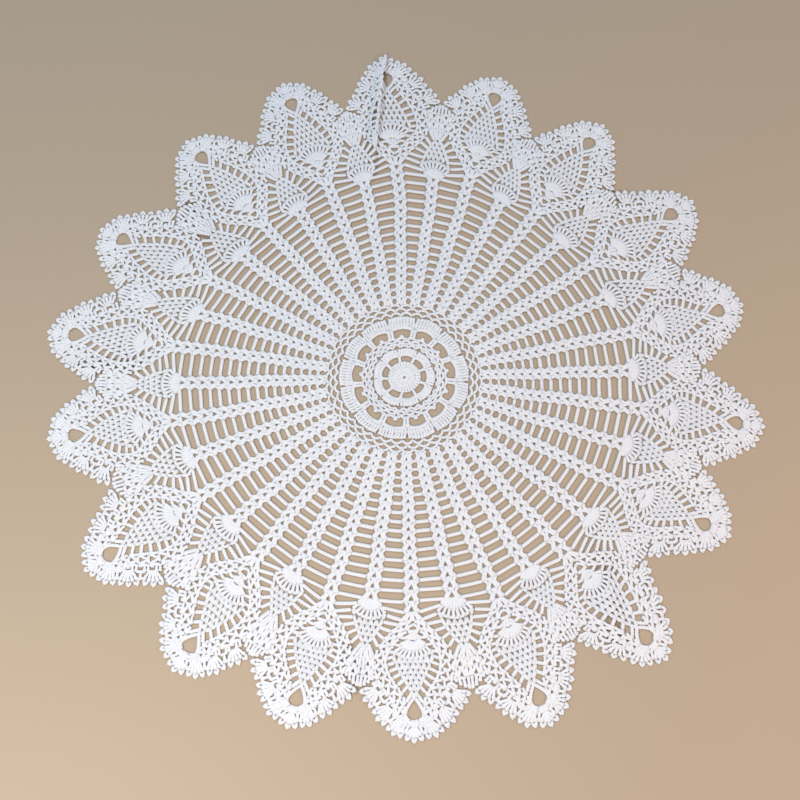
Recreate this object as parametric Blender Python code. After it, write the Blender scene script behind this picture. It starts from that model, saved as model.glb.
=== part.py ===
"""Round crochet tablecloth of white cotton, worked in one piece from its middle, as it lies on a table.

Metres, +Z up. The origin is under the middle of the centre motif, on the side that lies on the table.
Eighteen scallops run round the rim. Thirty-six ribs run out from the motif to them, with an open
ladder between each pair. A place on the cloth is first given as it would be in a perfectly even
cloth, by its distance from the middle and its angle, and then laid where it lies in this one.
"""

import math
from collections import namedtuple

import bmesh
import bpy
from mathutils import Vector
from mathutils.geometry import delaunay_2d_cdt

# Counts
SCALLOPS = 18
LADDERS = 2 * SCALLOPS
FANS_PER_SCALLOP = 10
INNER_SLOTS = 9
OUTER_SLOTS = 13
SLOTS_PER_LADDER = 7

# Distances from the middle in an even cloth
TIP_REACH = 0.302
VALLEY_REACH = 0.258
LADDER_REACH = 0.1955
MOTIF_REACH = 0.050
RIB_MARK = 0.150

# Sizes of the cloth itself
THICKNESS = 0.0024
FAN_DEPTH = 0.0030
FAN_SHOULDERS = (0.27, 0.73)
FIRST_TIP_DEG = 11.7

# The two rings of slots in the centre motif
InnerRing = namedtuple("InnerRing", "inside outside width_deg first_deg")
INNER_RING = InnerRing(0.0131, 0.0177, 30.0, 2.0)
OUTER_RING = InnerRing(0.0365, 0.0430, 20.0, 9.5)

# One slot's outline: how far along its half width, and how far short of the ring's inner or outer
# edge it stays there
SlotCorner = namedtuple("SlotCorner", "along inset")
SLOT_INNER_EDGE = (
    SlotCorner(-0.85, -0.0007),
    SlotCorner(-0.3, 0.0005),
    SlotCorner(0.3, 0.0005),
    SlotCorner(0.85, -0.0007),
)
SLOT_OUTER_EDGE = (
    SlotCorner(1.0, 0.0012),
    SlotCorner(0.4, 0.0),
    SlotCorner(-0.4, 0.0),
    SlotCorner(-1.0, 0.0012),
)

# The ladders: every second rung is kept as a bar
RUNG_PITCH = 0.0073
BAR = 0.0034
LADDER_WIDTH_DEG = 6.2
LADDER_POINT = 0.0016
LAST_RUNG_PAST_LADDER = 0.0037

# The drop-shaped gap near each scallop's tip, and its outline as shares of its length and width
DROP_INSIDE = 0.2715
DROP_LENGTH = 0.0150
DROP_WIDTH = 0.0076
DropCorner = namedtuple("DropCorner", "along aside")
DROP_OUTLINE = (
    DropCorner(0.0, 0.0),
    DropCorner(0.45, 0.32),
    DropCorner(0.72, 0.5),
    DropCorner(0.95, 0.3),
    DropCorner(1.0, 0.0),
    DropCorner(0.95, -0.3),
    DropCorner(0.72, -0.5),
    DropCorner(0.45, -0.32),
)

# One side of a scallop in an even cloth, from its tip down to the valley beside it
Side = namedtuple("Side", "reach half_deg")
SCALLOP_SIDE = (
    Side(TIP_REACH, 0.0),
    Side(0.3008, 1.3),
    Side(0.2970, 2.9),
    Side(0.2915, 4.3),
    Side(0.2850, 5.5),
    Side(0.2775, 6.7),
    Side(0.2700, 8.0),
    Side(0.2635, 9.1),
    Side(VALLEY_REACH, 10.0),
)

# How each scallop lies: the angle and reach of its tip, the angle of the rib that leads to it, the
# reach of the ladders there, and the reach of the valley on its far side, turning left
Lie = namedtuple("Lie", "tip_deg tip rib_deg ladder valley")
LIES = (
    Lie(12.7, 0.299, 11.7, 0.1985, 0.262),
    Lie(32.6, 0.304, 32.3, 0.1935, 0.254),
    Lie(53.1, 0.301, 52.3, 0.1910, 0.255),
    Lie(72.8, 0.303, 72.1, 0.1960, 0.265),
    Lie(92.8, 0.312, 91.1, 0.2000, 0.261),
    Lie(111.5, 0.304, 110.3, 0.1915, 0.257),
    Lie(131.2, 0.298, 131.1, 0.1850, 0.254),
    Lie(152.9, 0.300, 151.6, 0.1885, 0.261),
    Lie(172.4, 0.307, 171.6, 0.1970, 0.263),
    Lie(190.2, 0.301, 191.6, 0.1975, 0.258),
    Lie(212.4, 0.303, 211.2, 0.1945, 0.258),
    Lie(233.1, 0.301, 231.5, 0.1925, 0.261),
    Lie(252.3, 0.297, 251.8, 0.1955, 0.257),
    Lie(271.6, 0.294, 271.9, 0.1950, 0.261),
    Lie(291.9, 0.304, 292.0, 0.1985, 0.256),
    Lie(311.6, 0.311, 311.2, 0.1975, 0.247),
    Lie(333.0, 0.296, 332.1, 0.1990, 0.259),
    Lie(351.8, 0.303, 352.0, 0.1995, 0.253),
)

# Creases that stand up from the table, from their inner end to their outer end
Crease = namedtuple("Crease", "inner inner_deg outer outer_deg height half_width")
CREASES = (
    Crease(0.186, 98.8, 0.336, 92.6, 0.0060, 0.0085),
    Crease(0.205, 144.0, 0.262, 139.5, 0.0028, 0.0120),
    Crease(0.215, 176.5, 0.285, 178.5, 0.0022, 0.0110),
    Crease(0.210, 318.0, 0.285, 306.5, 0.0026, 0.0120),
    Crease(0.218, 47.0, 0.270, 40.5, 0.0022, 0.0110),
    Crease(0.220, 258.0, 0.275, 263.5, 0.0020, 0.0110),
)
CREASE_FADE = 0.3
CREASE_STEPS = 8

# Rings of plain points that let the cloth follow its creases
FILL_RINGS = (0.206, 0.228, 0.250)
POINTS_PER_RING = 54
HUB_POINTS = 7
HUB_REACH = 0.007
FILL_CLEARANCE = 0.0022

COTTON_WHITE = (0.86, 0.87, 0.90, 1.0)
COTTON_ROUGHNESS = 0.85

# The kind of triangulation that keeps what lies inside the edge and outside the gaps, and how near
# to each other two points count as one
INSIDE_LESS_HOLES = 2
SAME_POINT = 1e-7

SCALLOP_DEG = 360.0 / SCALLOPS
LADDER_DEG = 360.0 / LADDERS


def clear_scene():
    for thing in list(bpy.data.objects):
        bpy.data.objects.remove(thing, do_unlink=True)


def eased(values, turn):
    """Value at a share of a full turn, easing between values spaced evenly round it."""
    place = (turn % 1.0) * len(values)
    index = int(place) % len(values)
    ease = 0.5 - 0.5 * math.cos(math.pi * (place - int(place)))
    return values[index] * (1.0 - ease) + values[(index + 1) % len(values)] * ease


def between(value, low, high):
    """Share of the way from low to high, held at 0 and 1."""
    return min(1.0, max(0.0, (value - low) / (high - low)))


def on_table(reach, deg):
    """A point seen from above, from its distance from the middle and its angle."""
    angle = math.radians(deg)
    return Vector((math.cos(angle), math.sin(angle))) * reach


def off_by(angle, index):
    """How far an angle lies from the even cloth's angle for that scallop."""
    return (angle - FIRST_TIP_DEG - index * SCALLOP_DEG + 180.0) % 360.0 - 180.0


RIB_SHIFTS = [off_by(lie.rib_deg, index) for index, lie in enumerate(LIES)]
TIP_SHIFTS = [off_by(lie.tip_deg, index) for index, lie in enumerate(LIES)]
LADDER_STRETCH = [lie.ladder / LADDER_REACH for lie in LIES]
RIM_STRETCH = [share for lie in LIES for share in (lie.tip / TIP_REACH, lie.valley / VALLEY_REACH)]


def laid(reach, deg):
    """Where a place of the even cloth lies, seen from above."""
    turn = (deg - FIRST_TIP_DEG) / 360.0
    inner = between(reach, MOTIF_REACH, LADDER_REACH)
    outer = between(reach, LADDER_REACH, VALLEY_REACH)
    stretch = 1.0 + inner * (eased(LADDER_STRETCH, turn) - 1.0)
    stretch += outer * (eased(RIM_STRETCH, turn) - stretch)
    shift = between(reach, MOTIF_REACH, RIB_MARK) * eased(RIB_SHIFTS, turn)
    shift += between(reach, RIB_MARK, TIP_REACH) * (eased(TIP_SHIFTS, turn) - shift)
    return on_table(reach * stretch, deg + shift)


def crease_ends(crease):
    return on_table(crease.inner, crease.inner_deg), on_table(crease.outer, crease.outer_deg)


def rise(point):
    """Height of the cloth's table side over the table."""
    height = 0.0
    for crease in CREASES:
        start, end = crease_ends(crease)
        run = end - start
        along = (point - start).dot(run) / run.length_squared
        aside = abs((point - start).cross(run)) / run.length
        if aside < crease.half_width:
            swell = between(along, 0.0, CREASE_FADE) * between(1.0 - along, 0.0, CREASE_FADE)
            side = math.cos(0.5 * math.pi * aside / crease.half_width) ** 2
            height = max(height, crease.height * swell * side)
    return height


def scallop_walk():
    """Places along one scallop's edge from valley to valley, in its own angles, evenly cut into fans."""
    left = [(side.reach, -side.half_deg) for side in reversed(SCALLOP_SIDE)]
    right = [(side.reach, side.half_deg) for side in SCALLOP_SIDE[1:]]
    corners = left + right
    gone = [0.0]
    for here, there in zip(corners, corners[1:]):
        gone.append(gone[-1] + (on_table(*there) - on_table(*here)).length)

    def at(share):
        goal = share * gone[-1]
        leg = next(i for i in range(len(gone) - 1) if gone[i + 1] >= goal - 1e-9)
        part = (goal - gone[leg]) / (gone[leg + 1] - gone[leg])
        (reach_a, deg_a), (reach_b, deg_b) = corners[leg], corners[leg + 1]
        return reach_a + part * (reach_b - reach_a), deg_a + part * (deg_b - deg_a)

    places = [corners[0]]
    for fan in range(FANS_PER_SCALLOP):
        if fan:
            reach, deg = at(fan / FANS_PER_SCALLOP)
            places.append((reach - FAN_DEPTH, deg))
        for share in FAN_SHOULDERS:
            places.append(at((fan + share) / FANS_PER_SCALLOP))
    return places


def rim():
    walk = scallop_walk()
    middles = [FIRST_TIP_DEG + index * SCALLOP_DEG for index in range(SCALLOPS)]
    return [laid(reach, middle + deg) for middle in middles for reach, deg in walk]


def ring_slots(ring, count):
    """The slots of one ring of the motif, each curving towards the middle at both ends."""
    slots = []
    for index in range(count):
        middle = ring.first_deg + index * 360.0 / count
        half = 0.5 * ring.width_deg
        slot = [laid(ring.inside + c.inset, middle + c.along * half) for c in SLOT_INNER_EDGE]
        slot += [laid(ring.outside - c.inset, middle + c.along * half) for c in SLOT_OUTER_EDGE]
        slots.append(slot)
    return slots


def ladder_slots():
    """Six-sided gaps between the ribs, two rungs apart, from the outer end of each ladder inwards."""
    slots = []
    step = 2.0 * RUNG_PITCH
    for ladder in range(LADDERS):
        middle = FIRST_TIP_DEG + (ladder + 0.5) * LADDER_DEG
        for index in range(SLOTS_PER_LADDER):
            outside = LADDER_REACH + LAST_RUNG_PAST_LADDER - index * step
            inside = outside - step + BAR
            centre = 0.5 * (inside + outside)
            half = 0.5 * LADDER_WIDTH_DEG
            short = half - math.degrees(LADDER_POINT / centre)
            near_side = ((inside, -short), (inside, short), (centre, half))
            far_side = ((outside, short), (outside, -short), (centre, -half))
            slots.append([laid(reach, middle + deg) for reach, deg in near_side + far_side])
    return slots


def drops():
    """One drop-shaped gap for each scallop, its point towards the middle."""
    gaps = []
    for index in range(SCALLOPS):
        middle = FIRST_TIP_DEG + index * SCALLOP_DEG
        gap = []
        for corner in DROP_OUTLINE:
            reach = DROP_INSIDE + corner.along * DROP_LENGTH
            gap.append(laid(reach, middle + math.degrees(corner.aside * DROP_WIDTH / reach)))
        gaps.append(gap)
    return gaps


def inside_of(point, loop):
    """Whether a point lies within a closed loop of points."""
    crossings = 0
    for here, there in zip(loop, loop[1:] + loop[:1]):
        if (here.y > point.y) != (there.y > point.y):
            share = (point.y - here.y) / (there.y - here.y)
            crossings += point.x < here.x + share * (there.x - here.x)
    return crossings % 2 == 1


def fill_points(gaps, edge):
    """Plain points of the cloth, on its rings and along its creases, that are clear of gaps and edge."""
    points = [on_table(HUB_REACH, index * 360.0 / HUB_POINTS) for index in range(HUB_POINTS)]
    for row, reach in enumerate(FILL_RINGS):
        for index in range(POINTS_PER_RING):
            points.append(laid(reach, (index + 0.5 * row) * 360.0 / POINTS_PER_RING))
    for crease in CREASES:
        start, end = crease_ends(crease)
        aside = Vector((-(end - start).y, (end - start).x)).normalized() * crease.half_width
        for step in range(CREASE_STEPS + 1):
            for side in (-1.0, 0.0, 1.0):
                points.append(start.lerp(end, step / CREASE_STEPS) + aside * side)
    kept = []
    for point in points:
        loops_clear = not any(inside_of(point, gap) for gap in gaps) and inside_of(point, edge)
        corners = [corner for loop in gaps + [edge] for corner in loop] + kept
        if loops_clear and all((corner - point).length > FILL_CLEARANCE for corner in corners):
            kept.append(point)
    return kept


def cloth_sheet():
    """The cloth's table side as one open sheet, its gaps left out, with the creases raised."""
    edge = rim()
    gaps = ring_slots(INNER_RING, INNER_SLOTS) + ring_slots(OUTER_RING, OUTER_SLOTS)
    gaps += ladder_slots() + drops()
    points, loops = [], []
    for loop in [edge] + gaps:
        loops.append(list(range(len(points), len(points) + len(loop))))
        points.extend(loop)
    points.extend(fill_points(gaps, edge))
    flat, _, triangles, _, _, _ = delaunay_2d_cdt(points, [], loops, INSIDE_LESS_HOLES, SAME_POINT)
    sheet = bmesh.new()
    corners = [sheet.verts.new((point.x, point.y, rise(point))) for point in flat]
    for triangle in triangles:
        sheet.faces.new([corners[index] for index in triangle])
    bmesh.ops.delete(sheet, geom=[corner for corner in sheet.verts if not corner.link_faces], context="VERTS")
    return sheet


def thicken(sheet):
    """Gives the sheet its thickness upwards, and turns every face outwards."""
    grown = bmesh.ops.extrude_face_region(sheet, geom=sheet.faces[:], use_keep_orig=True)
    upper = [item for item in grown["geom"] if isinstance(item, bmesh.types.BMVert)]
    bmesh.ops.translate(sheet, verts=upper, vec=(0.0, 0.0, THICKNESS))
    bmesh.ops.recalc_face_normals(sheet, faces=sheet.faces[:])


def cotton():
    material = bpy.data.materials.new("white_cotton")
    material.use_nodes = True
    shader = material.node_tree.nodes["Principled BSDF"]
    shader.inputs["Base Color"].default_value = COTTON_WHITE
    shader.inputs["Roughness"].default_value = COTTON_ROUGHNESS
    shader.inputs["Metallic"].default_value = 0.0
    return material


def crochet_tablecloth():
    sheet = cloth_sheet()
    thicken(sheet)
    mesh = bpy.data.meshes.new("crochet_tablecloth")
    sheet.to_mesh(mesh)
    sheet.free()
    mesh.materials.append(cotton())
    cloth = bpy.data.objects.new("crochet_tablecloth", mesh)
    bpy.context.scene.collection.objects.link(cloth)
    return cloth


clear_scene()
crochet_tablecloth()
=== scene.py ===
import cmath
import math
from collections import namedtuple

import bpy
import numpy as np
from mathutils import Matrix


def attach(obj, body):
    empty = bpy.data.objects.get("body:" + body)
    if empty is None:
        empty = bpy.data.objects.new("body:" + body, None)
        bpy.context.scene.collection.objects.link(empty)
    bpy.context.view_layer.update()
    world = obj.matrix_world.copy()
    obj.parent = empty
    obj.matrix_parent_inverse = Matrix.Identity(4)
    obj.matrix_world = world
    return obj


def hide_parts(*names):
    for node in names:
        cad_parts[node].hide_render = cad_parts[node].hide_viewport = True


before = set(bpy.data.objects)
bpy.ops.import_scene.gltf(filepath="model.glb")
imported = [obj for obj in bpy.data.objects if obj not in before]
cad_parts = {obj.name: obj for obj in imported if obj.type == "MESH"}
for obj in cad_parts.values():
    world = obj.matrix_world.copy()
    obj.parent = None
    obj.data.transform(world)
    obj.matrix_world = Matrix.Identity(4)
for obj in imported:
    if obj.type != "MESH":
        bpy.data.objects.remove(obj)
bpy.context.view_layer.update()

MM = 0.001

# Counts
SCALLOPS = 18
RIBS = 2 * SCALLOPS
FANS_PER_SCALLOP = 7
INNER_SLOTS = 9
OUTER_SLOTS = 13
INNER_LOOPS = 27
MIDDLE_LOOPS = 26
OUTER_LOOPS = 39
SCALLOP_DEG = 360.0 / SCALLOPS
RIB_DEG = 360.0 / RIBS
FIRST_TIP_DEG = 11.7

# How the cloth lies, as in the part, in metres
TIP_REACH = 0.302
VALLEY_REACH = 0.258
LADDER_REACH = 0.1955
MOTIF_REACH = 0.050
RIB_MARK = 0.150

# How each scallop lies: the angle and reach of its tip, the angle of the rib that leads to it, the
# reach of the ladders there, and the reach of the valley on its far side, turning left
Lie = namedtuple("Lie", "tip_deg tip rib_deg ladder valley")
LIES = (
    Lie(12.7, 0.299, 11.7, 0.1985, 0.262),
    Lie(32.6, 0.304, 32.3, 0.1935, 0.254),
    Lie(53.1, 0.301, 52.3, 0.1910, 0.255),
    Lie(72.8, 0.303, 72.1, 0.1960, 0.265),
    Lie(92.8, 0.312, 91.1, 0.2000, 0.261),
    Lie(111.5, 0.304, 110.3, 0.1915, 0.257),
    Lie(131.2, 0.298, 131.1, 0.1850, 0.254),
    Lie(152.9, 0.300, 151.6, 0.1885, 0.261),
    Lie(172.4, 0.307, 171.6, 0.1970, 0.263),
    Lie(190.2, 0.301, 191.6, 0.1975, 0.258),
    Lie(212.4, 0.303, 211.2, 0.1945, 0.258),
    Lie(233.1, 0.301, 231.5, 0.1925, 0.261),
    Lie(252.3, 0.297, 251.8, 0.1955, 0.257),
    Lie(271.6, 0.294, 271.9, 0.1950, 0.261),
    Lie(291.9, 0.304, 292.0, 0.1985, 0.256),
    Lie(311.6, 0.311, 311.2, 0.1975, 0.247),
    Lie(333.0, 0.296, 332.1, 0.1990, 0.259),
    Lie(351.8, 0.303, 352.0, 0.1995, 0.253),
)

# Creases that stand up from the table, from their inner end to their outer end, with their half width
# on the left and on the right, and how much cloth they take up from the right
Crease = namedtuple("Crease", "inner inner_deg outer outer_deg height left right taken")
CREASES = (
    Crease(0.186, 98.8, 0.336, 92.6, 0.0060, 0.0100, 0.0040, 0.0050),
    Crease(0.205, 144.0, 0.262, 139.5, 0.0028, 0.0120, 0.0120, 0.0),
    Crease(0.215, 176.5, 0.285, 178.5, 0.0022, 0.0110, 0.0110, 0.0),
    Crease(0.210, 318.0, 0.285, 306.5, 0.0026, 0.0120, 0.0120, 0.0),
    Crease(0.218, 47.0, 0.270, 40.5, 0.0022, 0.0110, 0.0110, 0.0),
    Crease(0.220, 258.0, 0.275, 263.5, 0.0020, 0.0110, 0.0110, 0.0),
)
CREASE_DRAW = 0.045
CREASE_FADE = 0.3


def eased(values, turn):
    """Values at shares of a full turn, easing between values spaced evenly round it."""
    values = np.array(values)
    place = (turn % 1.0) * len(values)
    index = np.floor(place).astype(int) % len(values)
    ease = 0.5 - 0.5 * np.cos(math.pi * (place - np.floor(place)))
    return values[index] * (1.0 - ease) + values[(index + 1) % len(values)] * ease


def between(value, low, high):
    """Share of the way from low to high, held at 0 and 1."""
    return np.clip((value - low) / (high - low), 0.0, 1.0)


def off_by(angle, index):
    """How far an angle lies from the even cloth's angle for that scallop."""
    return (angle - FIRST_TIP_DEG - index * SCALLOP_DEG + 180.0) % 360.0 - 180.0


RIB_SHIFTS = [off_by(lie.rib_deg, index) for index, lie in enumerate(LIES)]
TIP_SHIFTS = [off_by(lie.tip_deg, index) for index, lie in enumerate(LIES)]
LADDER_STRETCH = [lie.ladder / LADDER_REACH for lie in LIES]
RIM_STRETCH = [share for lie in LIES for share in (lie.tip / TIP_REACH, lie.valley / VALLEY_REACH)]


def by_crease(spots, crease):
    """How far spots lie to the left of a crease, its share there, and the way to its left."""
    start = cmath.rect(crease.inner, math.radians(crease.inner_deg))
    run = cmath.rect(crease.outer, math.radians(crease.outer_deg)) - start
    within = (spots - start) * run.conjugate() / abs(run)
    along = within.real / abs(run)
    swell = between(along, 0.0, CREASE_FADE) * between(1.0 - along, 0.0, CREASE_FADE)
    return within.imag, swell, 1j * run / abs(run)


def drawn_in(spots):
    """Spots moved towards the creases that take up cloth."""
    for crease in CREASES:
        aside, swell, left = by_crease(spots, crease)
        near = between(-aside, 0.0, crease.right) * between(CREASE_DRAW + aside, 0.0, CREASE_DRAW)
        spots = spots + crease.taken * swell * near * left
    return spots


def laid(places):
    """Where places of the even cloth, in millimetres, lie on the table, in metres."""
    reach = np.abs(places) * MM
    turn = np.angle(places) / (2.0 * math.pi)
    inner = between(reach, MOTIF_REACH, LADDER_REACH)
    outer = between(reach, LADDER_REACH, VALLEY_REACH)
    stretch = 1.0 + inner * (eased(LADDER_STRETCH, turn) - 1.0)
    stretch = stretch + outer * (eased(RIM_STRETCH, turn) - stretch)
    shift = between(reach, MOTIF_REACH, RIB_MARK) * eased(RIB_SHIFTS, turn)
    shift = shift + between(reach, RIB_MARK, TIP_REACH) * (eased(TIP_SHIFTS, turn) - shift)
    return drawn_in(reach * stretch * np.exp(1j * np.radians(360.0 * turn + FIRST_TIP_DEG + shift)))


def rise(spots):
    """Height of the cloth's underside over the table."""
    height = np.zeros(spots.shape)
    for crease in CREASES:
        aside, swell, _ = by_crease(spots, crease)
        aside = np.minimum(np.abs(aside) / np.where(aside > 0.0, crease.left, crease.right), 1.0)
        height = np.maximum(height, crease.height * swell * np.cos(0.5 * math.pi * aside) ** 2)
    return height


def hand_made(places):
    """The even chart with the small unevenness of stitches made by hand, in millimetres."""
    x, y = places.real, places.imag
    along = 0.34 * np.sin(x / 23.0 + y / 9.0 + 1.7) + 0.24 * np.sin(x / 7.3 - y / 17.0 + 0.4)
    aside = 0.34 * np.sin(y / 21.0 - x / 11.0 + 2.9) + 0.24 * np.sin(y / 6.7 + x / 15.0 + 5.1)
    return places + along + 1j * aside


# Stitches, each modelled once, standing up from 0 to 1, one unit to each side
Stitch = namedtuple("Stitch", "along side up loops starts totals thread")


def deselect_all():
    bpy.ops.object.select_all(action="DESELECT")


def pick_corners(stitch, wanted):
    """Select the corners of a mesh that answer a question about their place."""
    bpy.ops.object.mode_set(mode="OBJECT")
    for face in stitch.data.polygons:
        face.select = False
    for edge in stitch.data.edges:
        edge.select = False
    for corner in stitch.data.vertices:
        corner.select = wanted(corner.co)
    bpy.ops.object.mode_set(mode="EDIT")


def drawn_out(rings):
    """Draw the selected flat start of a stitch out through rings of (height, width, turn)."""
    low, narrow, _ = rings[0]
    for height, width, turn in rings[1:]:
        bpy.ops.mesh.extrude_region_move(TRANSFORM_OT_translate={"value": (0.0, 0.0, height - low)})
        middle = (0.0, 0.0, height)
        grow = width / narrow
        bpy.ops.transform.resize(value=(grow, grow, 1.0), center_override=middle)
        if turn:
            bpy.ops.transform.rotate(value=math.radians(turn), orient_axis="Z", center_override=middle)
        low = height
        narrow = width


def finished(stitch):
    """Take a modelled stitch as arrays, with its thread's own coordinates, and put it away."""
    bpy.ops.mesh.select_all(action="SELECT")
    bpy.ops.mesh.normals_make_consistent(inside=False)
    bpy.ops.object.mode_set(mode="OBJECT")
    mesh = stitch.data
    corners = np.array([corner.co for corner in mesh.vertices])
    loops = np.array([loop.vertex_index for loop in mesh.loops])
    starts = np.array([face.loop_start for face in mesh.polygons])
    totals = np.array([face.loop_total for face in mesh.polygons])
    around = np.arctan2(corners[:, 0], corners[:, 1])[loops] / (2.0 * math.pi)
    for start, total in zip(starts, totals):
        face = around[start:start + total]
        if face.max() - face.min() > 0.5:
            face[face < 0.0] += 1.0
    thread = np.stack([corners[loops, 2], around], 1)
    bpy.data.objects.remove(stitch)
    return Stitch(corners[:, 2], corners[:, 0], corners[:, 1], loops, starts, totals, thread)


# Rings of a stitch from its foot to its head: height, width and turn in degrees
POST_RINGS = ((0.0, 0.7, 0.0), (0.14, 1.0, 38.0), (0.44, 0.98, 62.0), (0.8, 1.06, 62.0), (1.0, 0.74, 38.0))
PICOT_RINGS = ((0.0, 0.8, 0.0), (0.2, 1.0, 30.0), (0.5, 1.1, 30.0), (0.8, 1.0, 30.0), (1.0, 0.8, 30.0))
LINK_SWELL, LINK_WAIST, CHAIN_END = 1.08, 0.84, 0.66


def post_stitch():
    """A treble's post: one flattened six-sided tube that twists as it rises, narrow at the foot and at the
    head.
    """
    deselect_all()
    bpy.ops.mesh.primitive_circle_add(vertices=6, radius=POST_RINGS[0][1], fill_type="NGON")
    post = bpy.context.object
    bpy.ops.object.mode_set(mode="EDIT")
    bpy.ops.mesh.select_all(action="SELECT")
    bpy.ops.transform.resize(value=(1.1, 0.9, 1.0))
    drawn_out(POST_RINGS)
    return finished(post)


def chain_stitches(links):
    """A short chain: a swelling for each link, with the groove of its two legs along the top."""
    deselect_all()
    bpy.ops.mesh.primitive_circle_add(vertices=6, radius=CHAIN_END, fill_type="NGON")
    chain = bpy.context.object
    bpy.ops.object.mode_set(mode="EDIT")
    pick_corners(chain, lambda place: place.y > 0.6)
    bpy.ops.transform.translate(value=(0.0, -0.3, 0.0))
    pick_corners(chain, lambda place: abs(place.x) > 0.2 and place.y > 0.0)
    bpy.ops.transform.translate(value=(0.0, 0.16, 0.0))
    bpy.ops.mesh.select_all(action="SELECT")
    rings = [(0.0, CHAIN_END, 0.0)]
    for link in range(links):
        rings.append(((link + 0.42) / links, LINK_SWELL, 0.0))
        rings.append(((link + 1.0) / links, LINK_WAIST, 0.0))
    rings[-1] = (1.0, CHAIN_END, 0.0)
    drawn_out(rings)
    return finished(chain)


def picot_stitch():
    """A picot: a short round thread that is bent into a loop when it is laid."""
    deselect_all()
    bpy.ops.mesh.primitive_circle_add(vertices=5, radius=PICOT_RINGS[0][1], fill_type="NGON")
    picot = bpy.context.object
    bpy.ops.object.mode_set(mode="EDIT")
    bpy.ops.mesh.select_all(action="SELECT")
    drawn_out(PICOT_RINGS)
    return finished(picot)


# The chart. A place is a complex number in millimetres: its real part runs outwards along a rib, and
# its imaginary part to the left of it.
LINK_LENGTH = 2.35
EVEN_FULLNESS = 1.0 / 3.0
LOOP_FULLNESS = 0.16
PICOT_FOOT, PICOT_TIP = 1.75, 0.4


def at(reach, deg):
    return cmath.rect(reach, math.radians(deg))


def mirrored(place):
    return place.conjugate()


def curve(start, end, middle=None, fullness=EVEN_FULLNESS):
    """The four points of a smooth curve from start to end that passes through middle half way."""
    swell = 0.0 if middle is None else (middle - 0.5 * (start + end)) / 0.75
    run = (end - start) * fullness
    return (start, start + run + swell, end - run + swell, end)


class Work:
    """Stitches of one piece of the cloth: posts, the wider posts of shells, chains by their number of
    links, the finer loops of the centre, and picots."""

    def __init__(self):
        self.posts = []
        self.shells = []
        self.chains = {}
        self.loops = []
        self.picots = []

    def post(self, foot, head, bow=0.0):
        across = 1j * (head - foot) / abs(head - foot)
        self.posts.append(curve(foot, head, 0.5 * (foot + head) + across * bow))

    def chain(self, start, end, middle=None, fullness=EVEN_FULLNESS, links=None):
        self.strand(curve(start, end, middle, fullness), links)

    def strand(self, path, links=None):
        if links is None:
            legs = sum(abs(b - a) for a, b in zip(path, path[1:]))
            links = max(2, round(0.5 * (legs + abs(path[3] - path[0])) / LINK_LENGTH))
        self.chains.setdefault(links, []).append(path)

    def loop(self, start, end, peak):
        self.loops.append(curve(start, end, peak, LOOP_FULLNESS))

    def picot(self, root, outward, size):
        left = 1j * outward
        self.picots.append((root + PICOT_FOOT * left, root + size * outward + PICOT_TIP * left,
                            root + size * outward - PICOT_TIP * left, root - PICOT_FOOT * left))

    def repeat(self, other, deg):
        """Work another piece's stitches here, turned about the middle."""
        turn = at(1.0, deg)
        self.posts += [tuple(p * turn for p in path) for path in other.posts]
        self.shells += [tuple(p * turn for p in path) for path in other.shells]
        self.loops += [tuple(p * turn for p in path) for path in other.loops]
        self.picots += [tuple(p * turn for p in path) for path in other.picots]
        for links, paths in other.chains.items():
            self.chains.setdefault(links, []).extend(tuple(p * turn for p in path) for path in paths)


# Centre motif, by angles measured on the table: where its inner and its outer rounds start
INNER_START_DEG = 2.0
OUTER_START_DEG = 9.5


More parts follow.
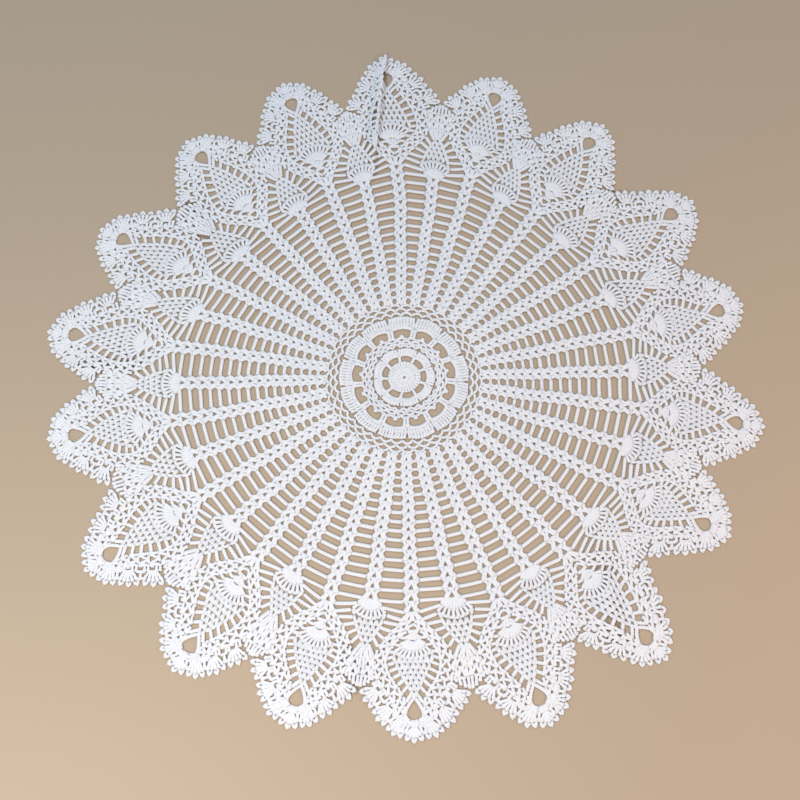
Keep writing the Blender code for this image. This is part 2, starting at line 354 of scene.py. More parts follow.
def centre_motif(work):
    """Three rounds of posts, then the two rings of slots with rounds of loops after each."""
    for foot, head, count in ((1.0, 4.6, 10), (4.3, 9.2, 20), (8.9, 13.7, 30)):
        for index in range(count):
            work.post(at(foot, index * 360.0 / count), at(head, index * 360.0 / count + 3.0))
    step = 360.0 / INNER_SLOTS
    for index in range(INNER_SLOTS):
        bar = INNER_START_DEG + (index + 0.5) * step
        middle = bar + 0.5 * step
        work.post(at(13.3, bar), at(19.6, bar))
        work.chain(at(19.4, bar), at(19.4, bar + step), at(20.4, middle), 0.3)
        for place in range(-3, 4):
            share = place / 3.0
            work.post(at(20.0 - 0.4 * share ** 2, middle + share * 16.5),
                      at(26.4 - 0.8 * share ** 2, middle + share * 14.5), 0.6 * share ** 3)
    step = 360.0 / INNER_LOOPS
    for index in range(INNER_LOOPS):
        deg = INNER_START_DEG + index * step
        peak = 30.1 if index % 3 == 1 else 29.0
        work.loop(at(26.8, deg), at(26.8, deg + step), at(peak, deg + step / 2))
    step = 360.0 / MIDDLE_LOOPS
    for index in range(MIDDLE_LOOPS):
        deg = OUTER_START_DEG + index * step
        work.loop(at(29.6, deg - step / 2), at(29.6, deg + step / 2), at(30.9, deg))
        work.loop(at(31.0, deg), at(31.0, deg + step), at(33.4, deg + step / 2))
        work.loop(at(33.8, deg - step / 2), at(33.8, deg + step / 2), at(35.9, deg))
    step = 360.0 / OUTER_SLOTS
    for index in range(OUTER_SLOTS):
        bar = OUTER_START_DEG + (index + 0.5) * step
        middle = bar + 0.5 * step
        for lean in (-1.0, 1.0):
            work.post(at(34.4, bar + lean * 2.2), at(43.9, bar + lean * 1.7))
            work.post(at(35.0, middle + lean * 3.6), at(38.4, middle + lean * 0.6), -0.9 * lean)
        work.chain(at(43.2, bar), at(43.2, bar + step), at(45.2, middle))
        for place in range(-4, 5):
            droop = (place / 4.0) ** 2
            work.post(at(44.9, middle + place * 3.05), at(49.0, middle + place * 3.08))
            work.post(at(48.6, middle + place * 3.08), at(54.9 - 0.9 * droop, middle + place * 2.75))
    step = 360.0 / OUTER_LOOPS
    for row, (foot, peak) in enumerate(((55.2, 58.4), (59.2, 62.2), (62.8, 65.7))):
        for index in range(OUTER_LOOPS):
            deg = OUTER_START_DEG + (index + 0.5 * row) * step
            work.loop(at(foot, deg), at(foot, deg + step), at(peak, deg + step / 2))


# Ladders: 36 ribs of shells with a chain from rib to rib in every row
RibWidth = namedtuple("RibWidth", "reach inner outer waist")
RIB_WIDTHS = (RibWidth(73.0, 2.35, 4.2, 2.6), RibWidth(95.0, 2.7, 5.2, 2.85),
              RibWidth(150.0, 3.0, 5.8, 3.0), RibWidth(195.0, 3.3, 6.1, 3.1))
FIRST_TOP, ROW_HEIGHT, ROW_GROWTH = 73.4, 6.76, 0.058
LAST_INNER_ROW = 8
LAST_RUNG = 15
LAST_ROW = 16

# A shell: how far its feet go under the row before, how far its outer heads lie below its top, how far
# a strand starts beside them, and how its chain is inset and rises. The rest are shares of its widths.
FOOT_UNDER = 0.9
SHELL_DROP = 0.5
CORNER_OUT = 0.3
CHAIN_INSET, CHAIN_RISE = 0.3, 0.4
INNER_FOOT, INNER_LOW, INNER_HIGH, OUTER_FOOT = 0.24, 0.4, 1.44, 0.95


def row_top(row):
    """How far out the top of a ladder row lies; the rows grow a little outwards."""
    return FIRST_TOP + row * (ROW_HEIGHT + ROW_GROWTH * row)


def rib_width(reach):
    """The inner, outer and waist width of a rib's shell at a reach, each to one side."""
    reaches, *widths = zip(*RIB_WIDTHS)
    return [float(np.interp(reach, reaches, width)) for width in widths]


def shell(work, base, top, inner, outer, waist, under=FOOT_UNDER):
    """Two posts, two chain and two posts worked into the space at base, drawn in at the waist and
    spread under top."""
    up = (top - base) / abs(top - base)
    foot = base - under * up
    third = (top - foot) / 3.0
    for lean in (1.0, -1.0):
        left = lean * 1j * up
        work.shells.append((foot + INNER_FOOT * inner * left, foot + third - INNER_LOW * inner * left,
                            top - third + INNER_HIGH * inner * left, top + inner * left))
        start, end = foot + OUTER_FOOT * outer * left, top - SHELL_DROP * up + outer * left
        work.shells.append(curve(start, end, 0.5 * (foot + top - SHELL_DROP * up) + waist * left))
    aside = (inner - CHAIN_INSET) * 1j * up
    work.chain(top + aside, top - aside, top + CHAIN_RISE * up, links=2)


def shell_corner(base, top, side, outer):
    """Where a strand leaves a shell, on its left at side 1 and on its right at -1."""
    up = (top - base) / abs(top - base)
    return top - SHELL_DROP * up + side * 1j * up * (outer + CORNER_OUT)


def ladder_rows(work, first, last):
    """Rows of shells on every rib, with the rungs between them; every second rib ends at the last rung."""
    for rib in range(RIBS):
        for row in range(first, last + 1):
            if rib % 2 and row > LAST_RUNG:
                continue
            inner, outer, waist = rib_width(row_top(row))
            here = [at(row_top(row + step), rib * RIB_DEG) for step in (-1, 0)]
            there = [at(row_top(row + step), (rib + 1) * RIB_DEG) for step in (-1, 0)]
            shell(work, *here, inner, outer, waist)
            if row <= LAST_RUNG:
                work.chain(shell_corner(*here, 1.0, outer), shell_corner(*there, -1.0, outer), fullness=0.3)


# Framing shells: down one side of a scallop, on the left of its middle line. Their feet go less far
# under the row before than the ladders' do.
FRAME_FOOT_UNDER = 0.1
Frame = namedtuple("Frame", "along aside half")
FRAMING = (
    Frame(196.4, 0.0, 5.6), Frame(203.6, 3.2, 4.6), Frame(209.5, 8.4, 4.6), Frame(215.2, 14.5, 4.7),
    Frame(220.6, 19.5, 4.8), Frame(226.0, 24.0, 5.0), Frame(232.8, 26.2, 5.4), Frame(239.9, 26.0, 5.7),
    Frame(247.2, 24.3, 5.7), Frame(254.6, 20.9, 5.6), Frame(261.7, 17.0, 5.4), Frame(268.1, 13.0, 5.2),
    Frame(274.4, 11.6, 4.9), Frame(281.0, 11.2, 4.7), Frame(288.2, 7.2, 4.5),
)


def framing(index):
    return complex(FRAMING[index].along, FRAMING[index].aside)


def framing_corner(index, side):
    """Corner of a framing shell, on its side away from the middle line at 1, towards it at -1."""
    return shell_corner(framing(index - 1), framing(index), side, FRAMING[index].half)


def framing_shells(work):
    """Two rows of shells that part at the end of a rib and frame the scallop on both sides."""
    base, top = framing(0), framing(1)
    for flip in (1.0, -1.0):
        work.post(base - FOOT_UNDER + 0.3j * flip, complex(top.real + 0.3, 1.0 * flip))
        work.post(base - FOOT_UNDER + 0.9j * flip, complex(top.real, 5.3 * flip), 0.3 * flip)
        work.post(base - FOOT_UNDER + 1.6j * flip, complex(top.real - 1.2, 7.3 * flip), 0.5 * flip)
        work.chain(complex(top.real, 5.0 * flip), complex(top.real, 1.2 * flip),
                   complex(top.real + 0.4, 3.1 * flip), links=2)
    for index in range(2, len(FRAMING)):
        half = FRAMING[index].half
        base, top = framing(index - 1), framing(index)
        shell(work, base, top, 0.57 * half, half, 0.72 * half, FRAME_FOOT_UNDER)
        shell(work, mirrored(base), mirrored(top), 0.57 * half, half, 0.72 * half, FRAME_FOOT_UNDER)


def fan(work, centre, foot, head, count, half_deg):
    """Posts spread evenly round a centre; gives back their heads."""
    heads = []
    for index in range(count):
        ray = at(1.0, half_deg * (2.0 * index / (count - 1) - 1.0))
        work.post(centre + foot * ray, centre + head * ray)
        heads.append(centre + head * ray)
    return heads


# How the first rows of a net bend back at their sides, and how full its loops are
NET_BENDS = [0.016, 0.008]
NET_FULLNESS = 0.05


def net(work, first_row, along, pitch, spacing, shoulder):
    """Rows of loops that hang from shoulder to shoulder, lose one loop a row and end in a point."""
    bends = NET_BENDS + [0.0] * first_row
    for row, count in enumerate(range(first_row, 0, -1)):
        reach = along + row * pitch
        for index in range(count):
            aside = (index - 0.5 * (count - 1)) * spacing
            near, far = aside - 0.5 * spacing, aside + 0.5 * spacing
            work.chain(complex(reach - bends[row] * near ** 2, near),
                       complex(reach - bends[row] * far ** 2, far),
                       complex(reach + pitch - bends[row + 1] * aside ** 2, aside), NET_FULLNESS, links=3)
    half = 0.5 * first_row * spacing
    edge = complex(along - bends[0] * half ** 2, half)
    work.chain(shoulder, edge, links=2)
    work.chain(mirrored(shoulder), mirrored(edge), links=2)
    return along + first_row * pitch


def inner_pineapple(work):
    """One pineapple at the end of a valley rib, with that rib as its middle line."""
    centre = complex(184.2, 0.0)
    fan(work, centre, foot=2.6, head=12.0, count=9, half_deg=54.0)
    heads = fan(work, centre, foot=11.6, head=18.2, count=8, half_deg=47.0)
    for here, there in zip(heads, heads[1:]):
        work.chain(here, there, links=2)
    end = net(work, first_row=5, along=203.5, pitch=4.3, spacing=4.6, shoulder=heads[-1])
    work.post(complex(end - 1.5, 0.0), complex(end + 3.0, 0.0))


# Where the strands meet the inner pineapple's side, where the second one starts, and the half width of
# the rib where the first one does
INNER_EDGE = (191.9 + 10.0j, 197.8 + 14.4j, 203.6 + 12.3j, 208.2 + 10.0j, 212.6 + 7.6j, 216.8 + 5.4j,
              222.4 + 3.0j)
SECOND_STRAND = 202.4 + 7.6j
RIB_END_WIDTH = 5.8


def inner_flanks(work):
    """Strands from the framing shells to the inner pineapples on both sides of a scallop."""
    for index, place in enumerate(INNER_EDGE):
        edge = mirrored(place) * at(1.0, RIB_DEG)
        if index == 0:
            start = shell_corner(at(row_top(LAST_RUNG), 0.0), at(row_top(LAST_ROW), 0.0), 1.0, RIB_END_WIDTH)
        elif index == 1:
            start = SECOND_STRAND
        else:
            start = framing_corner(index, 1.0)
        work.chain(start, edge)
        work.chain(mirrored(start), mirrored(edge))


# Where the strands meet the outer pineapple's side, how far back from a shell's corner they start, and
# one side of the drop-shaped hole under it
OUTER_EDGE = (218.4 + 5.0j, 223.8 + 10.4j, 228.2 + 14.0j, 232.0 + 15.4j, 237.0 + 14.5j, 242.2 + 12.3j,
              247.6 + 9.8j, 253.0 + 7.2j, 259.0 + 4.5j, 265.0 + 1.9j)
STRAND_BACK = 1.6
DROP_SIDE = (268.4 + 0.0j, 272.4 + 4.8j, 286.0 + 14.6j, 287.2 + 0.0j)


def outer_pineapple(work):
    """The pineapple of one scallop and the strands that join it to the framing shells."""
    work.chain(framing_corner(2, -1.0), mirrored(framing_corner(2, -1.0)), complex(212.8, 0.0), links=4)
    for flip in (-1.0, 1.0):
        work.post(complex(212.6, 0.8 * flip), complex(217.4, 1.3 * flip))
    fan(work, complex(213.4, 0.0), foot=2.4, head=7.2, count=5, half_deg=48.0)
    centre = complex(217.6, 0.0)
    fan(work, centre, foot=3.6, head=12.0, count=10, half_deg=60.0)
    heads = fan(work, centre, foot=11.6, head=18.0, count=9, half_deg=52.0)
    for here, there in zip(heads, heads[1:]):
        work.chain(here, there, links=2)
    end = net(work, first_row=7, along=234.6, pitch=4.7, spacing=4.4, shoulder=heads[-1])
    work.post(complex(end - 1.5, 0.0), complex(end + 1.4, 0.0))
    work.strand(DROP_SIDE)
    work.strand(tuple(map(mirrored, DROP_SIDE)))
    for index, place in enumerate(OUTER_EDGE, start=3):
        up = framing(index) - framing(index - 1)
        start = framing_corner(index, -1.0) - STRAND_BACK * up / abs(up)
        work.chain(start, place)
        work.chain(mirrored(start), mirrored(place))


# Edging: a scallop's side from its tip to its valley, as reach and degrees
SIDE = ((302.0, 0.0), (300.8, 1.3), (297.0, 2.9), (291.5, 4.3), (285.0, 5.5), (277.5, 6.7), (270.0, 8.0),
        (263.5, 9.1), (258.0, 10.0))
RIM_POINTS = 241
RIM_SMOOTHINGS = 12

# Depths inside the rim of the fans' feet and of the edging posts' feet, which stand no deeper than
# where the framing shells begin, and how far those shells reach from their middle line
FAN_LINE = 11.2
SHALLOWEST_FOOT = 13.6
DEEPEST_FOOT = 16.8
SHELL_REACH = 4.4
FOOT_STEP = 0.25

# The edging under one fan, as shares of the fan's width: its posts, and its chains' middle and half length
EDGING_POSTS = (-0.335, -0.175, 0.0, 0.175, 0.335)
EDGING_CHAINS = ((0.5, 0.17), (1.0, 0.2))
SHORT_POST = 2.4


def rim_walk():
    """Even points along one scallop's rim from valley to valley, and the way outwards at each."""
    left = [at(reach, deg) for reach, deg in SIDE]
    corners = np.array([mirrored(place) for place in reversed(left)] + left[1:])
    gone = np.concatenate([[0.0], np.cumsum(np.abs(np.diff(corners)))])
    steps = np.linspace(0.0, gone[-1], RIM_POINTS)
    places = np.interp(steps, gone, corners.real) + 1j * np.interp(steps, gone, corners.imag)
    for _ in range(RIM_SMOOTHINGS):
        places[1:-1] = 0.25 * places[:-2] + 0.5 * places[1:-1] + 0.25 * places[2:]
    tangent = np.gradient(places)
    return places, -1j * tangent / np.abs(tangent)


def framing_line():
    """Close points along the middle of the framing shells, on both sides of a scallop."""
    places = np.array([framing(index) for index in range(len(FRAMING))])
    last = len(FRAMING) - 1
    steps = np.linspace(0, last, 10 * last + 1)
    marks = np.arange(last + 1)
    line = np.interp(steps, marks, places.real) + 1j * np.interp(steps, marks, places.imag)
    return np.concatenate([line, line.conjugate()])


RIM, OUTWARD = rim_walk()
SHELL_LINE = framing_line()


def rim_at(share, depth):
    """The place at a depth inside the rim, at a share of the way from valley to valley."""
    place = min(max(share, 0.0), 1.0) * (len(RIM) - 1)
    low = min(int(place), len(RIM) - 2)
    part = place - low
    out = OUTWARD[low] * (1.0 - part) + OUTWARD[low + 1] * part
    return complex(RIM[low] * (1.0 - part) + RIM[low + 1] * part - out / abs(out) * depth)


def foot_depth(share):
    """How deep a post of the edging round stands, down to the framing shells."""
    for depth in np.arange(SHALLOWEST_FOOT, DEEPEST_FOOT, FOOT_STEP):
        if np.abs(SHELL_LINE - rim_at(share, depth)).min() < SHELL_REACH:
            return float(depth)
    return DEEPEST_FOOT


def edging_round(work):
    """Posts side by side from the framing shells to the fans, with a hole under every notch of the rim
    and a smaller one under the middle of every fan."""
    for index in range(FANS_PER_SCALLOP):
        for place in EDGING_POSTS:
            share = (index + 0.5 + place) / FANS_PER_SCALLOP
            foot = foot_depth(share)
            work.post(rim_at(share, foot), rim_at(share, foot - SHORT_POST if place == 0.0 else FAN_LINE))
        for middle, half in EDGING_CHAINS:
            if index + middle < FANS_PER_SCALLOP:
                work.chain(rim_at((index + middle - half) / FANS_PER_SCALLOP, FAN_LINE),
                           rim_at((index + middle + half) / FANS_PER_SCALLOP, FAN_LINE), links=2)


# Shells on one side of a valley, with the valley rib as the middle line: base, top, half width
VALLEY_SHELLS = (
    (232.0 + 4.6j, 239.6 + 5.7j, 4.8), (239.6 + 5.7j, 247.0 + 5.5j, 5.1),
)
VALLEY_POSTS = (
    (222.6 + 3.0j, 232.4 + 7.9j), (225.0 + 1.6j, 233.4 + 5.0j), (226.4 + 0.7j, 233.8 + 2.0j),
    (246.6 + 1.5j, 256.2 + 1.3j), (246.4 + 5.0j, 255.0 + 4.3j), (246.0 + 8.8j, 252.8 + 7.4j),
    (245.6 + 11.8j, 250.0 + 10.4j),
)


def valley(work):
    """Where two scallops meet, under an inner pineapple."""
    for base, top, half in VALLEY_SHELLS:
        shell(work, base, top, 0.56 * half, half, 0.72 * half)
        shell(work, mirrored(base), mirrored(top), 0.56 * half, half, 0.72 * half)
    for foot, head in VALLEY_POSTS:
        work.post(foot, head)
        work.post(mirrored(foot), mirrored(head))


def picot_fans(work):
    """The rim: fans of five posts with three picots on their heads, and a post and a short chain at
    every notch."""
    wide = 1.0 / FANS_PER_SCALLOP
    for index in range(FANS_PER_SCALLOP):
        middle = (index + 0.5) * wide
        for place in range(-2, 3):
            head = place / 2.0
            foot = rim_at(middle + 0.12 * head * wide, FAN_LINE + 0.7)
            top = rim_at(middle + 0.375 * head * wide, 2.7 + 1.5 * abs(head) ** 2.5)
            out = (top - foot) / abs(top - foot)
            work.shells.append(curve(foot, top, 0.5 * (foot + top) + 0.2j * head * out))
        for place in (-1.0, 0.0, 1.0):
            depth = 3.0 + 0.9 * abs(place)
            root = rim_at(middle + 0.3 * place * wide, depth)
            out = root - rim_at(middle + 0.28 * place * wide, depth + 1.0)
            work.picot(root, out / abs(out), 4.3)
        if index:
            notch = index * wide
            work.post(rim_at(notch, FAN_LINE + 0.6), rim_at(notch, 5.6))
            work.chain(rim_at(notch - 0.22 * wide, 5.0), rim_at(notch + 0.22 * wide, 5.0),
                       rim_at(notch, 5.7), links=2)


# Laying the stitches: their half width and half height, and how high their middle line lies at the
# foot, half way and at the head, in millimetres
Body = namedtuple("Body", "half_width half_height foot middle head")
POST_BODY = Body(1.6, 0.8, 0.95, 1.2, 1.46)
SHELL_BODY = Body(1.84, 0.76, 0.95, 1.15, 1.4)
EDGE_SHELL_BODY = Body(1.64, 0.66, 0.95, 1.15, 1.4)
EDGE_PIECES = ("scallop_shells", "picot_rim")
CHAIN_BODY = Body(1.5, 0.78, 1.3, 1.05, 1.3)
NET_BODY = Body(1.7, 0.66, 1.2, 1.0, 1.2)
RUNG_BODY = Body(1.7, 0.8, 1.3, 1.05, 1.3)
LOOP_BODY = Body(1.26, 0.66, 1.1, 0.95, 1.1)
PICOT_BODY = Body(1.5, 0.72, 1.0, 1.0, 1.0)
BODY_BY_LINKS = {2: CHAIN_BODY, 3: NET_BODY}

# No stitch lies lower than this over the cloth's own height
LOWEST = 0.05

# How much the stitches differ from each other: in height, in width as a share, and in place
LIFT_PLAY = 0.08
WIDTH_PLAY = 0.05
PLACE_PLAY = 0.12


def worked(stitch, body, paths, chance):
    """Every stitch of one kind laid along its own path: its corners, and its thread's coordinates."""
    paths = np.array(paths)
    play = chance.normal(size=(2,) + paths.shape) * PLACE_PLAY
    points = laid(hand_made(paths + play[0] + 1j * play[1]))
    start, near, far, end = (points[:, index, None] for index in range(4))
    t = stitch.along[None, :]
    line = (1 - t) ** 3 * start + 3 * (1 - t) ** 2 * t * near + 3 * (1 - t) * t * t * far + t ** 3 * end
    run = (1 - t) ** 2 * (near - start) + 2 * (1 - t) * t * (far - near) + t * t * (end - far)
    across = -1j * run / np.abs(run)
    wide = body.half_width * (1.0 + chance.normal(size=(len(paths), 1)) * WIDTH_PLAY)
    spots = line + across * stitch.side[None, :] * wide * MM
    lift = (body.foot * (1 - t) * (1 - 2 * t) + 4 * body.middle * t * (1 - t) + body.head * t * (2 * t - 1))
    lift = lift + chance.normal(size=(len(paths), 1)) * LIFT_PLAY
    height = np.maximum(lift + stitch.up[None, :] * body.half_height, LOWEST) * MM + rise(line)
    length = np.abs(points[:, 1:] - points[:, :-1]).sum(1)[:, None] / MM
    thread = np.stack([stitch.thread[None, :, 0] * length + chance.uniform(0.0, 9.0, (len(paths), 1)),
                       np.broadcast_to(stitch.thread[:, 1], (len(paths), len(stitch.loops)))], 2)
    return np.stack([spots.real, spots.imag, height], 2), thread


def crocheted(name, work, seed):
    """One mesh of all the stitches of a piece."""
    chance = np.random.default_rng(seed)
    shell_body = EDGE_SHELL_BODY if name in EDGE_PIECES else SHELL_BODY
    kinds = [(POST, POST_BODY, work.posts), (POST, shell_body, work.shells),
             (CHAINS[3], LOOP_BODY, work.loops), (PICOT, PICOT_BODY, work.picots)]
    kinds += [(CHAINS[links], BODY_BY_LINKS.get(links, RUNG_BODY), work.chains[links])
              for links in sorted(work.chains)]
    corners, loops, starts, totals, threads = [], [], [], [], []
    first_corner = first_loop = 0
    for stitch, body, paths in kinds:
        if not paths:
            continue
        places, thread = worked(stitch, body, paths, chance)
        count, each = places.shape[:2]
        turns = np.arange(count)[:, None]
        corners.append(places.reshape(-1, 3))
        loops.append((stitch.loops[None, :] + turns * each + first_corner).ravel())
        starts.append((stitch.starts[None, :] + turns * len(stitch.loops) + first_loop).ravel())
        totals.append(np.tile(stitch.totals, count))
        threads.append(thread.reshape(-1, 2))
        first_corner += count * each
        first_loop += count * len(stitch.loops)
    corners, loops, starts, totals, threads = map(np.concatenate, (corners, loops, starts, totals, threads))
    mesh = bpy.data.meshes.new(name)
    mesh.vertices.add(len(corners))
    mesh.vertices.foreach_set("co", corners.astype(np.float32).ravel())
    mesh.loops.add(len(loops))
    mesh.loops.foreach_set("vertex_index", loops.astype(np.int32))
    mesh.polygons.add(len(starts))
    mesh.polygons.foreach_set("loop_start", starts.astype(np.int32))
    mesh.polygons.foreach_set("loop_total", totals.astype(np.int32))
    mesh.update(calc_edges=True)
    mesh.uv_layers.new(name="thread").data.foreach_set("uv", threads.astype(np.float32).ravel())
    mesh.polygons.foreach_set("use_smooth", np.ones(len(starts), dtype=bool))
    mesh.validate()
    mesh.update()
    piece = bpy.data.objects.new(name, mesh)
    bpy.context.scene.collection.objects.link(piece)
    return piece


# Cotton
def node_group(name, inputs, outputs):
    group = bpy.data.node_groups.new(name, "ShaderNodeTree")
    for label, kind, value in inputs:
        socket = group.interface.new_socket(label, in_out="INPUT", socket_type=kind)
        socket.default_value = value
    for label, kind in outputs:
        group.interface.new_socket(label, in_out="OUTPUT", socket_type=kind)
    return group, group.nodes.new("NodeGroupInput"), group.nodes.new("NodeGroupOutput")


def maths(group, operation, *values):
    node = group.nodes.new("ShaderNodeMath")
    node.operation = operation
    for socket, value in zip(node.inputs, values):
        if isinstance(value, (int, float)):
            socket.default_value = value
        else:
            group.links.new(value, socket)
    return node.outputs[0]


def plied_thread_group():
    """Plies that wind round the thread, from its own coordinates: along in millimetres, and around. Puts out
    their height for the bump, and a mask of the grooves between the plies, where shade is painted into the
    colour.
    """
    group, given, made = node_group(
        "plied_thread",
        [("Ply Length", "NodeSocketFloat", 1.5), ("Plies", "NodeSocketFloat", 3.0),
         ("Fuzz", "NodeSocketFloat", 0.35)],
        [("Height", "NodeSocketFloat"), ("Groove Shade", "NodeSocketFloat")],
    )
    thread = group.nodes.new("ShaderNodeUVMap")
    thread.uv_map = "thread"
    split = group.nodes.new("ShaderNodeSeparateXYZ")
    group.links.new(thread.outputs["UV"], split.inputs[0])
    along = maths(group, "DIVIDE", split.outputs["X"], given.outputs["Ply Length"])
    around = maths(group, "MULTIPLY", split.outputs["Y"], given.outputs["Plies"])
    wave = maths(group, "SINE", maths(group, "MULTIPLY", maths(group, "ADD", along, around), 2.0 * math.pi))
    ridge = maths(group, "POWER", maths(group, "MULTIPLY_ADD", wave, 0.5, 0.5), 0.6)
    fibres = group.nodes.new("ShaderNodeTexNoise")
    place = group.nodes.new("ShaderNodeTexCoord")
    group.links.new(place.outputs["Object"], fibres.inputs["Vector"])
    fibres.inputs["Scale"].default_value = 5200.0
    fibres.inputs["Detail"].default_value = 2.0
    rough = maths(group, "MULTIPLY", fibres.outputs["Fac"], given.outputs["Fuzz"])
    group.links.new(maths(group, "ADD", ridge, rough), made.inputs["Height"])
    # The grooves between the plies: a mask for shade painted into the colour
    group.links.new(maths(group, "SUBTRACT", 1.0, ridge), made.inputs["Groove Shade"])
    return group


def wash_group():
    """Slow changes of shade over the washed cloth, and small ones from stitch to stitch."""
    group, given, made = node_group(
        "washed_cotton",
        [("Large", "NodeSocketFloat", 14.0), ("Small", "NodeSocketFloat", 320.0)],
        [("Slow", "NodeSocketFloat"), ("Quick", "NodeSocketFloat")],
    )
    place = group.nodes.new("ShaderNodeTexCoord")
    for label, socket in (("Large", "Slow"), ("Small", "Quick")):
        noise = group.nodes.new("ShaderNodeTexNoise")
        group.links.new(place.outputs["Object"], noise.inputs["Vector"])
        group.links.new(given.outputs[label], noise.inputs["Scale"])
        group.links.new(noise.outputs["Fac"], made.inputs[socket])
    return group


def mixed(material, share, first, second):
    nodes, links = material.node_tree.nodes, material.node_tree.links
    mix = nodes.new("ShaderNodeMix")
    mix.data_type = "RGBA"
    for socket, colour in ((mix.inputs["A"], first), (mix.inputs["B"], second)):
        if isinstance(colour, tuple):
            socket.default_value = colour
        else:
            links.new(colour, socket)
    links.new(share, mix.inputs["Factor"])
    return mix.outputs["Result"]


def spread(material, value, low, high, to_low, to_high):
    node = material.node_tree.nodes.new("ShaderNodeMapRange")
    for label, number in (("From Min", low), ("From Max", high), ("To Min", to_low), ("To Max", to_high)):
        node.inputs[label].default_value = number
    material.node_tree.links.new(value, node.inputs["Value"])
    return node.outputs["Result"]


COTTON_LIGHT = (0.86, 0.87, 0.90, 1.0)
COTTON_COOL = (0.80, 0.82, 0.88, 1.0)
# Painted shade: a darker, bluish white painted into the grooves between the plies
COTTON_GROOVE_SHADE = (0.74, 0.76, 0.83, 1.0)


def cotton():
    material = bpy.data.materials.new("white_cotton")
    material.use_nodes = True
    tree = material.node_tree
    shader = tree.nodes["Principled BSDF"]
    shader.inputs["Specular IOR Level"].default_value = 0.35
    shader.inputs["Sheen Weight"].default_value = 0.25
    shader.inputs["Sheen Roughness"].default_value = 0.45
    thread = tree.nodes.new("ShaderNodeGroup")
    thread.node_tree = plied_thread_group()
    wash = tree.nodes.new("ShaderNodeGroup")
    wash.node_tree = wash_group()
    slow = spread(material, wash.outputs["Slow"], 0.35, 0.7, 0.0, 0.7)
    quick = spread(material, wash.outputs["Quick"], 0.3, 0.7, 0.0, 0.35)
    # Painted shade: the grooves between the plies are darkened towards the painted groove shade colour
    groove = spread(material, thread.outputs["Groove Shade"], 0.3, 1.0, 0.0, 0.55)
    colour = mixed(material, slow, COTTON_LIGHT, COTTON_COOL)
    colour = mixed(material, quick, colour, COTTON_COOL)
    colour = mixed(material, groove, colour, COTTON_GROOVE_SHADE)
    tree.links.new(colour, shader.inputs["Base Color"])
    tree.links.new(spread(material, wash.outputs["Quick"], 0.3, 0.7, 0.7, 0.84), shader.inputs["Roughness"])
    bump = tree.nodes.new("ShaderNodeBump")
    bump.inputs["Strength"].default_value = 0.5
    bump.inputs["Distance"].default_value = 0.00018
    tree.links.new(thread.outputs["Height"], bump.inputs["Height"])
    tree.links.new(bump.outputs["Normal"], shader.inputs["Normal"])
    return material


# Studio
FLOOR_SIZE = 40.0
AIM = (-0.0034, -0.0196, 0.0)
CAMERA_UP_DEG = 73.45
CAMERA_AWAY = 0.908
LENS_MM = 48.63
FLOOR_TAN = (0.47, 0.37, 0.27, 1.0)


def camera():
    data = bpy.data.cameras.new("camera")
    data.lens = LENS_MM
    data.sensor_width = 36.0
    seen_from = bpy.data.objects.new("camera", data)
    up = math.radians(CAMERA_UP_DEG)
    seen_from.location = (AIM[0], AIM[1] - CAMERA_AWAY * math.cos(up), AIM[2] + CAMERA_AWAY * math.sin(up))
    seen_from.rotation_euler = (0.5 * math.pi - up, 0.0, 0.0)
    bpy.context.scene.collection.objects.link(seen_from)
    bpy.context.scene.camera = seen_from


def soft_light(name, place, aim, size, watts, colour):
    data = bpy.data.lights.new(name, "AREA")
    data.shape = "DISK"
    data.size = size
    data.energy = watts
    data.color = colour
    lamp = bpy.data.objects.new(name, data)
    lamp.location = place
    towards = np.array(aim) - np.array(place)
    tilt = math.atan2(math.hypot(towards[0], towards[1]), -towards[2])
    lamp.rotation_euler = (tilt, 0.0, math.atan2(towards[1], towards[0]) - 0.5 * math.pi)
    bpy.context.scene.collection.objects.link(lamp)


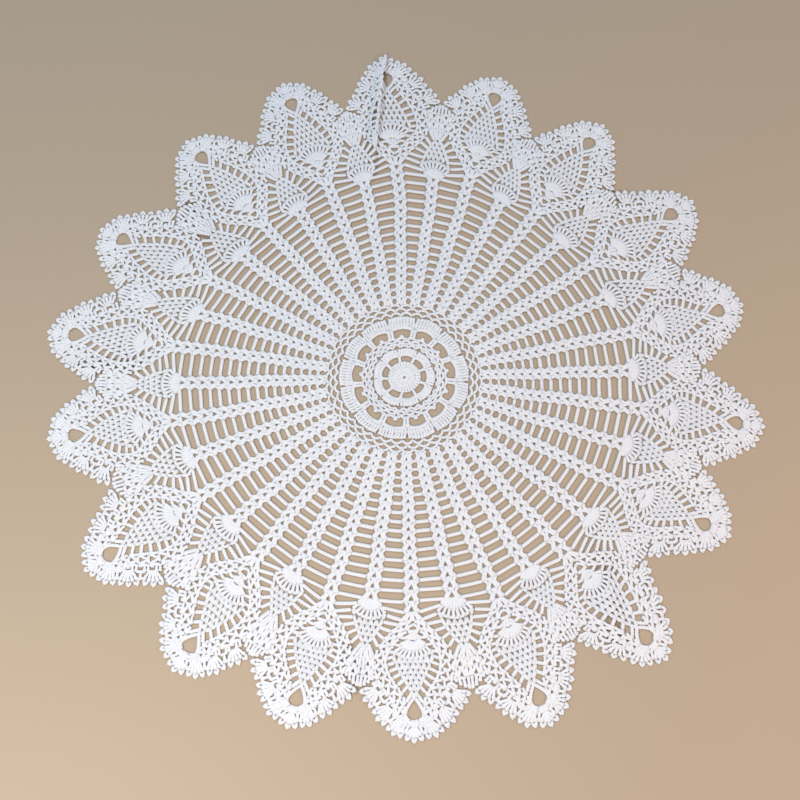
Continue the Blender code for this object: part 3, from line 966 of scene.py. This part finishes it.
def studio():
    deselect_all()
    bpy.ops.mesh.primitive_plane_add(size=FLOOR_SIZE)
    floor = bpy.context.object
    floor.name = "floor"
    material = bpy.data.materials.new("plain_floor")
    material.use_nodes = True
    shader = material.node_tree.nodes["Principled BSDF"]
    shader.inputs["Base Color"].default_value = FLOOR_TAN
    shader.inputs["Roughness"].default_value = 0.8
    floor.data.materials.append(material)
    soft_light("window", (-1.0, 1.6, 3.2), (0.0, 0.0, 0.0), 1.6, 46.0, (0.76, 0.88, 1.0))
    soft_light("lamp", (-0.35, -0.55, 0.75), (-0.35, -0.55, 0.0), 0.3, 5.4, (1.0, 0.90, 0.78))
    soft_light("right_lamp", (0.95, -0.35, 0.7), (0.95, -0.35, 0.0), 0.4, 6.0, (1.0, 0.62, 0.38))
    world = bpy.data.worlds.new("studio")
    world.use_nodes = True
    sky = world.node_tree.nodes["Background"]
    sky.inputs["Color"].default_value = (0.80, 0.90, 1.0, 1.0)
    sky.inputs["Strength"].default_value = 0.43
    bpy.context.scene.world = world
    bpy.context.scene.view_settings.view_transform = "Standard"


POST = post_stitch()
PICOT = picot_stitch()
CHAINS = {links: chain_stitches(links) for links in range(2, 14)}


def once(maker, *values):
    work = Work()
    maker(work, *values)
    return work


def round_the_cloth(*makers):
    """The work of each maker at every scallop, from the given part of a scallop's angle on."""
    whole = Work()
    for maker, part in makers:
        single = once(maker)
        for index in range(SCALLOPS):
            whole.repeat(single, (index + part) * SCALLOP_DEG)
    return whole


middle = Work()
middle.repeat(once(centre_motif), -FIRST_TIP_DEG)
WORK = (
    ("centre_motif", middle),
    ("inner_ladders", once(ladder_rows, 0, LAST_INNER_ROW)),
    ("outer_ladders", once(ladder_rows, LAST_INNER_ROW + 1, LAST_ROW)),
    ("inner_pineapples", round_the_cloth((inner_pineapple, 0.5), (inner_flanks, 0.0), (valley, 0.5))),
    ("outer_pineapples", round_the_cloth((outer_pineapple, 0.0))),
    ("scallop_shells", round_the_cloth((framing_shells, 0.0))),
    ("picot_rim", round_the_cloth((edging_round, 0.0), (picot_fans, 0.0))),
)

# Measured on the finished meshes, except the depth and length of the two edge pieces, which follow the
# framing line and the rim line of the chart, the rim's depth judged between its mean and its greatest. A
# piece laid out straight, in metres: its depth, its length along its middle line, and the area inside its
# outline with gaps under 8 mm closed.
Flat = namedtuple("Flat", "width length area")

studio()
camera()
COTTON = cotton()
for seed, (name, work) in enumerate(WORK, start=1):
    piece = crocheted(name, work, seed)
    piece.data.materials.append(COTTON)
    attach(piece, "root")
    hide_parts("crochet_tablecloth")
